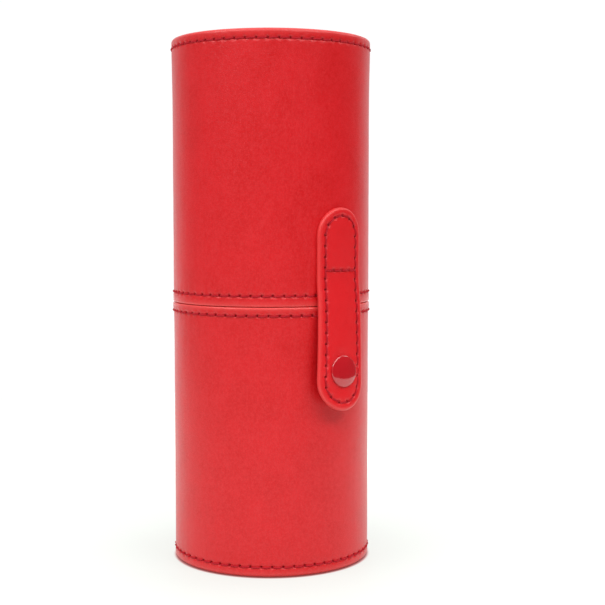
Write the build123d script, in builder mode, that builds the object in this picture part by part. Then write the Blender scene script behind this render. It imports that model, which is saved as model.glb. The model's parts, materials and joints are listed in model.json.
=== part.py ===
"""Travel brush case: two leather-covered board tubes that close over a collar, held shut by a snap strap.

Units are millimetres and +Z is up. The origin is the centre of the cup's underside.
The strap is on the -Y side. It is sewn to the lid and snaps onto the cup.
"""

import os
from math import atan, cos, degrees, radians, sin, sqrt

from build123d import *

os.makedirs("parts", exist_ok=True)

# ---- driving dimensions ----
outer_radius = 37.5  # over the leather
total_height = 199.0
cup_height = 99.0
lip_gap = 0.3  # between the two rolled lips when the case is shut
skin = 0.9  # leather thickness
thin_skin = 0.6  # leather pared down where it is turned in or faces the collar
lining = 0.6
floor_board = 2.0
slide_gap = 0.3  # radial, between the collar and the lid's turned hem
collar_wall = 1.4
collar_rise = 16.0  # collar above the cup's lip
collar_facing_drop = 15.0  # facing hidden below the cup's lip
mouth_hem = 12.0
end_hem = 5.0
lip_round = 0.8  # outside corner at the two mouths
rim_round = 1.3  # outside corner at the closed ends
board_round = 0.3
thread_radius = 0.3
thread_sink = 0.25  # how deep a thread lies in the leather
end_row = 3.6  # stitch rows, from the closed ends
cup_mouth_row = 3.1  # stitch rows, from the two lips
lid_mouth_row = 3.8

strap_width = 20.8
strap_top = 135.2
strap_cross_row = 112.2
strap_length = 74.0
strap_facing = 0.9
strap_core = 0.5
strap_backing = 0.8
strap_row_inset = 2.8
hinge_height = 108.0
hinge_lift = 0.5  # flap clear of the wall at the flex line
flex_gap = 0.15  # cut between the sewn part and the flap at the flex line

snap_height = 75.5
snap_standoff = 3.45  # flap clear of the wall at the snap
snap_aside = 2.6  # the stud sits this far to -X of the strap's middle, so the flap hangs slightly askew
cap_radius = 5.8
cap_rim = 0.85
cap_dome = 0.85
post_radius = 1.3
post_head_radius = 1.8
post_head = 0.3
socket_radius = 4.8
socket_thickness = 1.4
socket_web = 0.4
socket_bore = 2.4
stud_flange_radius = 4.7
stud_flange = 0.5
stud_neck_radius = 1.6
stud_head_radius = 1.9
stud_height = 2.0
rivet_radius = 1.0
rivet_hole_radius = 1.2
rivet_head_radius = 4.4
rivet_head = 0.7

# ---- derived radii and heights ----
core_radius = outer_radius - skin
collar_radius = core_radius - 3.2  # outside of the collar's leather facing
cup_core_bore = collar_radius + skin
lid_hem_radius = collar_radius + slide_gap
lid_core_bore = lid_hem_radius + skin
collar_core_radius = collar_radius - thin_skin
collar_core_bore = collar_core_radius - collar_wall
cup_bore = collar_core_bore - lining
collar_top = cup_height + collar_rise
floor_top = skin + floor_board + lining
lid_base = cup_height + lip_gap
ceiling = total_height - floor_top
strap_thickness = strap_facing + strap_core + strap_backing
thread_line = outer_radius + thread_radius - thread_sink
bobbin_line = lid_hem_radius + thread_sink - 0.05  # inside the lid's mouth, sunk clear of the collar

# ---- strap frame: the flex line is the origin, and the flap slopes away from the wall below it ----
flap_slope = atan((snap_standoff - hinge_lift) / (hinge_height - snap_height))
hinge_radius = outer_radius + hinge_lift + strap_thickness
flap_skew = atan(snap_aside * cos(flap_slope) / (hinge_height - snap_height))
flap_down = Vector(-sin(flap_skew), -cos(flap_skew) * sin(flap_slope), -cos(flap_skew) * cos(flap_slope))
flap_side = Vector(cos(flap_skew), -sin(flap_skew) * sin(flap_slope), -sin(flap_skew) * cos(flap_slope))
flap_out = Vector(0, -cos(flap_slope), sin(flap_slope))
hinge_point = Vector(0, -hinge_radius, hinge_height)
section_radius = outer_radius + strap_thickness  # crown of the strap, across its width
flap_length = (hinge_height - (strap_top - strap_length)) / cos(flap_slope)
snap_reach = (hinge_height - snap_height) / cos(flap_slope) / cos(flap_skew)
snap_point = hinge_point + flap_down * snap_reach
flap_face = Plane(origin=hinge_point, x_dir=flap_side, z_dir=flap_out)
flap_section = Plane(origin=hinge_point, x_dir=flap_side, z_dir=flap_down)
snap_section = Plane(origin=snap_point, x_dir=flap_side, z_dir=flap_down)
snap_face = Plane(origin=snap_point, x_dir=flap_side, z_dir=flap_out)
snap_axis = Axis(snap_point, flap_out)
overlap = 4.0  # the flap's outline runs this far up before it is cut level at the flex line
reach = 10.0  # cutting depth for the strap's outlines, well past its thickness

# ---- stud frame: level and square to the cup's wall, under the mouth of the flap's socket ----
socket_mouth = snap_point - flap_out * (strap_thickness + socket_thickness)
stud_turn = atan(socket_mouth.X / socket_mouth.Y)
stud_out = Vector(-sin(stud_turn), -cos(stud_turn), 0)
stud_side = Vector(cos(stud_turn), -sin(stud_turn), 0)
stud_wall = Plane(origin=(0, 0, snap_height), x_dir=stud_side, z_dir=stud_out)
stud_section = Plane(origin=(0, 0, snap_height), x_dir=stud_side, z_dir=(0, 0, -1))
stud_axis = Axis((0, 0, snap_height), stud_out)


def crown_depth(radius, half_width):
    """How far a curved sheet falls away from its crown at a half width."""
    return radius - sqrt(radius**2 - half_width**2)


cap_seat = crown_depth(section_radius, cap_radius)
stud_seat = crown_depth(outer_radius, stud_flange_radius)


def save(part, name):
    """Label a finished piece and write it under its own name."""
    part.label = name
    export_step(part, f"parts/{name}.step")


# ---- helpers for round pieces ----
def section_box(radius_in, radius_out, z_low, z_high, mode=Mode.ADD):
    """A rectangle in a radius and height section, for the sketch that is open."""
    with Locations(((radius_in + radius_out) / 2, (z_low + z_high) / 2)):
        Rectangle(radius_out - radius_in, z_high - z_low, mode=mode)


def tube(radius_in, radius_out, z_low, z_high):
    """A plain tube standing on the axis."""
    with BuildPart() as made:
        with BuildSketch(Plane.XY.offset(z_low)):
            Circle(radius_out)
            Circle(radius_in, mode=Mode.SUBTRACT)
        extrude(amount=z_high - z_low)
    return made


def disc(radius, z_low, z_high):
    """A plain round board."""
    with BuildPart() as made:
        with BuildSketch(Plane.XY.offset(z_low)):
            Circle(radius)
        extrude(amount=z_high - z_low)
    return made


def core_tube(radius_in, z_low, z_high):
    """A wrapped board tube, with its outer edges eased for the leather to turn over."""
    with BuildPart() as made:
        with BuildSketch(Plane.XZ) as section:
            section_box(radius_in, core_radius, z_low, z_high)
            fillet(section.vertices(), radius=board_round)
        revolve(axis=Axis.Z)
    return made


def thread_ring(radius, *heights):
    """A row of thread round the case at each height."""
    with BuildPart() as made:
        for z in heights:
            with BuildSketch(Plane.XZ):
                with Locations((radius, z)):
                    Circle(thread_radius)
            revolve(axis=Axis.Z)
    return made


def wrapped_cover(core_bore, hem_radius, z_low, z_high, hems, rounds, threads):
    """Leather round a board tube, turned over both ends and down inside, grooved by its threads."""
    hem_low, hem_high = hems
    with BuildPart() as made:
        with BuildSketch(Plane.XZ) as section:
            section_box(hem_radius, outer_radius, z_low, z_high)
            outer_low, outer_high = section.vertices().group_by(Axis.X)[-1].sort_by(Axis.Y)
            fillet(outer_low, radius=rounds[0])
            fillet(outer_high, radius=rounds[1])
            fillet(section.vertices().group_by(Axis.X)[0], radius=skin / 2)
            with BuildSketch(mode=Mode.SUBTRACT) as core:
                section_box(core_bore, core_radius, z_low + skin, z_high - skin)
                fillet(core.vertices(), radius=board_round)
            section_box(hem_radius, core_bore, z_low + hem_low, z_high - hem_high, mode=Mode.SUBTRACT)
        revolve(axis=Axis.Z)
        for row in threads:
            add(row.part, mode=Mode.SUBTRACT)
    return made


def end_cover(radius, z_face, inward):
    """The leather over a closed end: a disc with its edge turned in. inward is +1 upwards, -1 downwards."""
    z_back = z_face + inward * skin
    z_hem = z_face + inward * end_hem
    with BuildPart() as made:
        with BuildSketch(Plane.XZ) as section:
            section_box(0, radius, min(z_face, z_back), max(z_face, z_back))
            section_box(radius - thin_skin, radius, min(z_face, z_hem), max(z_face, z_hem))
            rim = section.vertices().group_by(Axis.X)[-1].sort_by(Axis.Y)
            fillet(rim[0 if inward > 0 else -1], radius=skin / 2)
        revolve(axis=Axis.Z)
    return made


def cross_pin(radius, reach_low, reach_high):
    """A level pin at the snap, square to the cup's wall, between two distances from the axis."""
    with BuildPart() as made:
        with BuildSketch(stud_wall.offset(reach_low)):
            Circle(radius)
        extrude(amount=reach_high - reach_low)
    return made


# ---- cup: threads, board, leather ----
cup_mouth_stitching = thread_ring(thread_line, cup_height - cup_mouth_row)
save(cup_mouth_stitching.part, "cup_mouth_stitching")

cup_base_stitching = thread_ring(thread_line, end_row)
save(cup_base_stitching.part, "cup_base_stitching")

rivet_hole = cross_pin(rivet_hole_radius, cup_bore, outer_radius)

with BuildPart() as cup_board_tube:
    add(core_tube(cup_core_bore, skin, cup_height - skin).part)
    add(rivet_hole.part, mode=Mode.SUBTRACT)
save(cup_board_tube.part, "cup_board_tube")

with BuildPart() as cup_outer_cover:
    add(
        wrapped_cover(
            cup_core_bore, collar_radius, 0, cup_height, (end_hem, mouth_hem), (rim_round, lip_round),
            [cup_mouth_stitching, cup_base_stitching],
        ).part
    )
    add(rivet_hole.part, mode=Mode.SUBTRACT)
    add(cross_pin(stud_flange_radius, outer_radius - stud_seat, outer_radius + skin).part, mode=Mode.SUBTRACT)
save(cup_outer_cover.part, "cup_outer_cover")

cup_base_cover = end_cover(collar_radius, 0, 1)
save(cup_base_cover.part, "cup_base_cover")

cup_base_board = disc(collar_core_radius, skin, skin + floor_board)
save(cup_base_board.part, "cup_base_board")

cup_floor_lining = disc(collar_core_bore, skin + floor_board, floor_top)
save(cup_floor_lining.part, "cup_floor_lining")

# ---- collar: a thinner tube inside the cup that stands up into the lid ----
collar_board = tube(collar_core_bore, collar_core_radius, skin + floor_board, collar_top - thin_skin)
save(collar_board.part, "collar_board")

with BuildPart() as collar_facing:
    with BuildSketch(Plane.XZ) as facing_section:
        section_box(cup_bore, collar_radius, cup_height - collar_facing_drop, collar_top)
        fillet(facing_section.vertices().group_by(Axis.Y)[-1], radius=thin_skin)
        section_box(
            cup_bore, collar_core_radius, cup_height - collar_facing_drop, collar_top - thin_skin,
            mode=Mode.SUBTRACT,
        )
        section_box(cup_bore, collar_core_bore, collar_top - 2 * end_hem, collar_top - thin_skin)
    revolve(axis=Axis.Z)
save(collar_facing.part, "collar_facing")

cup_wall_lining = tube(cup_bore, collar_core_bore, floor_top, collar_top - 2 * end_hem)
save(cup_wall_lining.part, "cup_wall_lining")

# ---- lid ----
lid_top_stitching = thread_ring(thread_line, total_height - end_row)
save(lid_top_stitching.part, "lid_top_stitching")

with BuildPart() as lid_mouth_stitching:
    add(thread_ring(thread_line, lid_base + lid_mouth_row).part)
    add(thread_ring(bobbin_line, lid_base + lid_mouth_row).part)
save(lid_mouth_stitching.part, "lid_mouth_stitching")

lid_board_tube = core_tube(lid_core_bore, lid_base + skin, total_height - skin)
save(lid_board_tube.part, "lid_board_tube")

lid_outer_cover = wrapped_cover(
    lid_core_bore, lid_hem_radius, lid_base, total_height, (mouth_hem, end_hem), (lip_round, rim_round),
    [lid_top_stitching, lid_mouth_stitching],
)
save(lid_outer_cover.part, "lid_outer_cover")

lid_top_cover = end_cover(lid_hem_radius, total_height, -1)
save(lid_top_cover.part, "lid_top_cover")

lid_top_board = disc(lid_hem_radius - thin_skin, ceiling + lining, total_height - skin)
save(lid_top_board.part, "lid_top_board")

lid_ceiling_lining = disc(lid_hem_radius - thin_skin, ceiling, ceiling + lining)
save(lid_ceiling_lining.part, "lid_ceiling_lining")

lid_wall_lining = tube(
    lid_core_bore - lining, lid_core_bore, lid_base + mouth_hem, total_height - end_hem
)
save(lid_wall_lining.part, "lid_wall_lining")


# ---- strap outlines, drawn flat and then cut from curved sheets ----
def anchor_outline(inset):
    """The sewn end: a round top over straight sides that stop at the flex line."""
    half = strap_width / 2 - inset
    shoulder = strap_top - strap_width / 2
    section_box(-half, half, hinge_height, shoulder)
    with Locations((0, shoulder)):
        Circle(half)


def flap_outline(inset, top):
    """The flap, measured down from the flex line to its round tip."""
    half = strap_width / 2 - inset
    shoulder = -(flap_length - strap_width / 2)
    section_box(-half, half, shoulder, top)
    with Locations((0, shoulder)):
        Circle(half)


def anchor_sheet(depth_low, depth_high, inset=0.0, band=0.0):
    """A layer of the sewn end between two depths below its face, or a band of it that follows the edge."""
    with BuildPart() as made:
        with BuildSketch(Plane.XY.offset(hinge_height)):
            Circle(section_radius - depth_low)
            Circle(section_radius - depth_high, mode=Mode.SUBTRACT)
        extrude(amount=strap_top - hinge_height)
        with BuildSketch(Plane.XZ.offset(outer_radius - reach)):
            anchor_outline(inset)
            if band:
                with BuildSketch(mode=Mode.SUBTRACT):
                    anchor_outline(inset + band)
                section_box(
                    inset - strap_width / 2, strap_width / 2 - inset,
                    strap_cross_row - band / 2, strap_cross_row + band / 2,
                )
        extrude(amount=2 * reach, mode=Mode.INTERSECT)
    return made


def flap_sheet(depth_low, depth_high, inset=0.0, band=0.0):
    """A layer of the flap between two depths below its face, or a band of it that follows the edge."""
    with BuildPart() as made:
        with BuildSketch(flap_section.offset(-overlap)):
            with Locations((0, -section_radius)):
                Circle(section_radius - depth_low)
                Circle(section_radius - depth_high, mode=Mode.SUBTRACT)
        extrude(amount=flap_length + overlap)
        with BuildSketch(flap_face):
            flap_outline(inset, overlap)
            if band:
                with BuildSketch(mode=Mode.SUBTRACT):
                    flap_outline(inset + band, 2 * overlap)
        extrude(amount=reach, both=True, mode=Mode.INTERSECT)
        with BuildSketch(Plane.XY.offset(hinge_height - flex_gap)):
            Circle(2 * section_radius)
        extrude(amount=reach, mode=Mode.SUBTRACT)
    return made


def snap_pin(radius, height_low, height_high):
    """A pin along the snap's own axis, between two heights over the flap's face."""
    with BuildPart() as made:
        with BuildSketch(snap_face.offset(height_low)):
            Circle(radius)
        extrude(amount=height_high - height_low)
    return made


row_inset = strap_row_inset - thread_radius
glue = 0.02  # keeps the sewn end just off the lid's leather

# ---- strap, the part sewn to the lid ----
strap_anchor_stitching = anchor_sheet(-thread_radius, thread_sink, row_inset, 2 * thread_radius)
save(strap_anchor_stitching.part, "strap_anchor_stitching")

with BuildPart() as strap_anchor_front:
    add(anchor_sheet(0, strap_facing).part)
    add(strap_anchor_stitching.part, mode=Mode.SUBTRACT)
save(strap_anchor_front.part, "strap_anchor_front")

strap_anchor_core = anchor_sheet(strap_facing, strap_facing + strap_core)
save(strap_anchor_core.part, "strap_anchor_core")

strap_anchor_back = anchor_sheet(strap_facing + strap_core, strap_thickness - glue)
save(strap_anchor_back.part, "strap_anchor_back")

# ---- strap, the flap that swings ----
strap_flap_stitching = flap_sheet(-thread_radius, thread_sink, row_inset, 2 * thread_radius)
save(strap_flap_stitching.part, "strap_flap_stitching")

post_hole = snap_pin(post_radius, -reach, reach)

with BuildPart() as strap_flap_front:
    add(flap_sheet(0, strap_facing).part)
    add(strap_flap_stitching.part, mode=Mode.SUBTRACT)
    add(post_hole.part, mode=Mode.SUBTRACT)
    add(snap_pin(cap_radius, -cap_seat, reach).part, mode=Mode.SUBTRACT)
save(strap_flap_front.part, "strap_flap_front")

with BuildPart() as strap_flap_core:
    add(flap_sheet(strap_facing, strap_facing + strap_core).part)
    add(post_hole.part, mode=Mode.SUBTRACT)
save(strap_flap_core.part, "strap_flap_core")

with BuildPart() as strap_flap_back:
    add(flap_sheet(strap_facing + strap_core, strap_thickness).part)
    add(post_hole.part, mode=Mode.SUBTRACT)
    add(snap_pin(socket_radius, -reach, -strap_thickness).part, mode=Mode.SUBTRACT)
save(strap_flap_back.part, "strap_flap_back")

# ---- snap: cap and socket on the flap, stud and rivet on the cup ----
web_face = -(strap_thickness + socket_web)

with BuildPart() as snap_cap:
    with BuildSketch(snap_section) as cap_profile:
        with BuildLine():
            rim_top = (cap_radius, cap_rim - cap_seat)
            crown = (0, cap_rim + cap_dome - cap_seat)
            dome = RadiusArc(crown, rim_top, (cap_radius**2 + cap_dome**2) / (2 * cap_dome))
            Polyline(
                dome @ 1,
                (cap_radius, -cap_seat),
                (post_radius, -cap_seat),
                (post_radius, web_face),
                (post_head_radius, web_face),
                (post_head_radius, web_face - post_head),
                (0, web_face - post_head),
                dome @ 0,
            )
        make_face()
        fillet(cap_profile.vertices().group_by(Axis.X)[-1], radius=0.35)
    revolve(axis=snap_axis)
save(snap_cap.part, "snap_cap")

with BuildPart() as snap_socket:
    with BuildSketch(snap_section) as socket_profile:
        section_box(post_radius, socket_radius, -(strap_thickness + socket_thickness), -strap_thickness)
        section_box(
            post_radius, socket_bore, -(strap_thickness + socket_thickness), web_face, mode=Mode.SUBTRACT
        )
        mouth_edges = socket_profile.vertices().group_by(Axis.Y)[0]
        fillet(mouth_edges.sort_by(Axis.X)[-1], radius=0.5)
        fillet(mouth_edges.sort_by(Axis.X)[0], radius=0.2)
    revolve(axis=snap_axis)
save(snap_socket.part, "snap_socket")

stud_back = outer_radius - stud_seat
stud_tip = stud_back + stud_height

with BuildPart() as snap_stud:
    with BuildSketch(stud_section) as stud_profile:
        section_box(rivet_radius, stud_flange_radius, stud_back, stud_back + stud_flange)
        fillet(stud_profile.vertices().sort_by(Axis.X)[-2:].sort_by(Axis.Y)[-1], radius=0.3)
        section_box(rivet_radius, stud_neck_radius, stud_back, stud_tip - 0.9)
        with BuildSketch(stud_section) as head_profile:
            section_box(rivet_radius, stud_head_radius, stud_tip - 0.9, stud_tip)
            fillet(head_profile.vertices().group_by(Axis.X)[-1], radius=0.35)
    revolve(axis=stud_axis)
save(snap_stud.part, "snap_stud")

head_face = sqrt(cup_core_bore**2 - rivet_head_radius**2) - 0.02
with BuildPart() as snap_rivet:
    add(cross_pin(rivet_head_radius, head_face - rivet_head, head_face).part)
    add(cross_pin(rivet_radius, head_face, stud_tip - 0.4).part)
save(snap_rivet.part, "snap_rivet")

print(f"flap slope {degrees(flap_slope):.2f} degrees, hinge radius {hinge_radius:.3f}, cup bore {cup_bore:.2f}")
print(f"snap point {snap_point}, flap length {flap_length:.2f}")
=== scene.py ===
"""Looks for the brush cup case: red leather over board, sewn rims, a collar, and a snap strap.

Sizes are in metres in the case's own frame: +Z up, the strap on -Y, the origin under the cup.
Outlines are (radius, height) pairs in millimetres and are turned into metres where a piece is made.
"""

import json
import math

import bmesh
import bpy
import numpy as np
from mathutils import Matrix, Vector


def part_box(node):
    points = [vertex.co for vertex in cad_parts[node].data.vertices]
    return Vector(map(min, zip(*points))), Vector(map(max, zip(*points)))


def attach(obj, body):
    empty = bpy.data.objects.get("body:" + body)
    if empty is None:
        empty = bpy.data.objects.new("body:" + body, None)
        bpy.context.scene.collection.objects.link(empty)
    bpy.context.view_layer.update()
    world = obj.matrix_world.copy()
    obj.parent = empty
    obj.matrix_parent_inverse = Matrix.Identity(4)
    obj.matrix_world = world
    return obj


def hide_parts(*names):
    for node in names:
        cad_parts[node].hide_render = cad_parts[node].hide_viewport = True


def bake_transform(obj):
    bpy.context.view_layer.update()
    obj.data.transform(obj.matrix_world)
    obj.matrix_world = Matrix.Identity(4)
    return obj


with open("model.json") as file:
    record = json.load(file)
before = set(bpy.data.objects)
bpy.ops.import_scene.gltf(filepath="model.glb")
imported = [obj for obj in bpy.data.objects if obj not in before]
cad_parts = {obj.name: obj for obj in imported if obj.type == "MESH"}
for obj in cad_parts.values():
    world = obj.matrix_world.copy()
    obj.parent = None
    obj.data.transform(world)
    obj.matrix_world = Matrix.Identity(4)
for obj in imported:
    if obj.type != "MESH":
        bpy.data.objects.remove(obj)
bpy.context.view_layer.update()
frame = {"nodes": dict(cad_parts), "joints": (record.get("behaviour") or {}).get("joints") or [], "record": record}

MM = 0.001
weld = 0.002 * MM  # points nearer than this are one point

# ---- sizes, read from the case's own parts (millimetres) ----


def box_mm(node):
    """A part's lowest and highest corners in millimetres."""
    low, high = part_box(node)
    return np.array(low) / MM, np.array(high) / MM


cup_high = box_mm("cup_outer_cover")[1]
lid_low, lid_high = box_mm("lid_outer_cover")
wall = cup_high[0]  # outside radius of the case
cup_top, lid_base, lid_top = cup_high[2], lid_low[2], lid_high[2]
board_face = box_mm("cup_board_tube")[1][0]
cup_hem_face = box_mm("cup_base_cover")[1][0]
lid_hem_face = box_mm("lid_top_cover")[1][0]
skin = wall - board_face
lining = 0.6
half_thread = 0.3
row_cup_mouth = box_mm("cup_mouth_stitching")[1][2] - half_thread
row_cup_base = box_mm("cup_base_stitching")[1][2] - half_thread
row_lid_mouth = box_mm("lid_mouth_stitching")[1][2] - half_thread
row_lid_top = box_mm("lid_top_stitching")[1][2] - half_thread
stitches_round = 58  # in each row round the case
pitch = 2 * math.pi * wall / stitches_round

# strap
anchor_low, anchor_high = box_mm("strap_anchor_front")
flap_low = box_mm("strap_flap_front")[0]
strap_half = anchor_high[0] + 0.2  # the edge swells a little past the parts it covers
strap_top, strap_tip = anchor_high[2], flap_low[2]
strap_crown = -anchor_low[1]  # front of the sewn end, from the case's axis
strap_thick = strap_crown - wall
swing = next(joint for joint in frame["joints"] if joint["name"] == "strap_swing")
hinge = np.array(swing["pos_m"]) / MM
stand_off, stand_off_over = 2.95, 32.5  # from its hinge down to the snap, the flap leans out this much
flap_lean = math.atan(stand_off / stand_off_over)
row_cross = 112.2  # height of the cross row
row_inset = 3.0  # from the strap's edge to its stitches
strap_pitch = 3.98  # about how long the strap's stitches are
snap_height = 75.5
cap_radius = 5.8
cap_base, cap_rim, cap_crown = -0.24, 0.40, 1.42  # heights above the strap's face


# ---- node helpers ----
class Board:
    """A node tree being drawn up. Each call places one node and returns its first output."""

    def __init__(self, tree):
        self.tree = tree

    def place(self, kind, inputs=(), **settings):
        node = self.tree.nodes.new(kind)
        for name, value in settings.items():
            setattr(node, name, value)
        for key, value in dict(inputs).items():
            self.feed(node.inputs[key], value)
        return node

    def feed(self, socket, value):
        if isinstance(value, bpy.types.NodeSocket):
            self.tree.links.new(value, socket)
        else:
            socket.default_value = value

    def sum(self, operation, *values):
        node = self.tree.nodes.new("ShaderNodeMath")
        node.operation = operation
        for socket, value in zip(node.inputs, values):
            self.feed(socket, value)
        return node.outputs[0]

    def vector(self, x, y, z):
        node = self.tree.nodes.new("ShaderNodeCombineXYZ")
        for socket, value in zip(node.inputs, (x, y, z)):
            self.feed(socket, value)
        return node.outputs[0]

    def split(self, value):
        node = self.tree.nodes.new("ShaderNodeSeparateXYZ")
        self.feed(node.inputs[0], value)
        return node.outputs

    def soft_step(self, value, low, high):
        """0 below low and 1 above high, smooth between them."""
        node = self.place("ShaderNodeMapRange", interpolation_type="SMOOTHSTEP")
        for key, given in (("Value", value), ("From Min", low), ("From Max", high)):
            self.feed(node.inputs[key], given)
        return node.outputs[0]

    def bell(self, value, width):
        """1 where value is 0, falling off smoothly over width."""
        ratio = self.sum("DIVIDE", value, width)
        return self.sum("EXPONENT", self.sum("MULTIPLY", self.sum("MULTIPLY", ratio, ratio), -1.0))


def geometry_tree(name, inputs):
    """An empty geometry tree with named inputs, and the identifiers that set them."""
    tree = bpy.data.node_groups.new(name, "GeometryNodeTree")
    face = tree.interface
    face.new_socket("Geometry", in_out="INPUT", socket_type="NodeSocketGeometry")
    keys = {}
    for label, kind in inputs.items():
        keys[label] = face.new_socket(label, in_out="INPUT", socket_type=f"NodeSocket{kind}").identifier
    face.new_socket("Geometry", in_out="OUTPUT", socket_type="NodeSocketGeometry")
    board = Board(tree)
    return board, board.place("NodeGroupInput").outputs, keys


def close_tree(board, geometry, material):
    """Every tree ends alike: real geometry with its material on it."""
    real = board.place("GeometryNodeRealizeInstances", {"Geometry": geometry})
    painted = board.place("GeometryNodeSetMaterial", {"Geometry": real.outputs[0], "Material": material})
    end = board.place("NodeGroupOutput")
    board.feed(end.inputs[0], painted.outputs[0])


def grown(name, seed_mesh, tree_and_keys, settings):
    """Runs a tree on a starting mesh and keeps the result as a plain mesh."""
    tree, keys = tree_and_keys
    seed = bpy.data.objects.new(f"{name}_seed", seed_mesh)
    bpy.context.scene.collection.objects.link(seed)
    modifier = seed.modifiers.new(name, "NODES")
    modifier.node_group = tree
    for label, value in settings.items():
        modifier[keys[label]] = value
    evaluated = seed.evaluated_get(bpy.context.evaluated_depsgraph_get())
    mesh = bpy.data.meshes.new_from_object(evaluated)
    mesh.name = name
    bpy.data.objects.remove(seed)
    bpy.data.meshes.remove(seed_mesh)
    return mesh


def shown(name, mesh):
    """A finished mesh as an object at the origin."""
    piece = bpy.data.objects.new(name, mesh)
    bpy.context.scene.collection.objects.link(piece)
    return piece


def fit_out(piece, slot, body, *nodes):
    """Hides the parts that a piece stands for and hangs the piece on the body it rides on. slot is not used."""
    if nodes:
        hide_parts(*nodes)
    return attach(piece, body)


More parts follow.
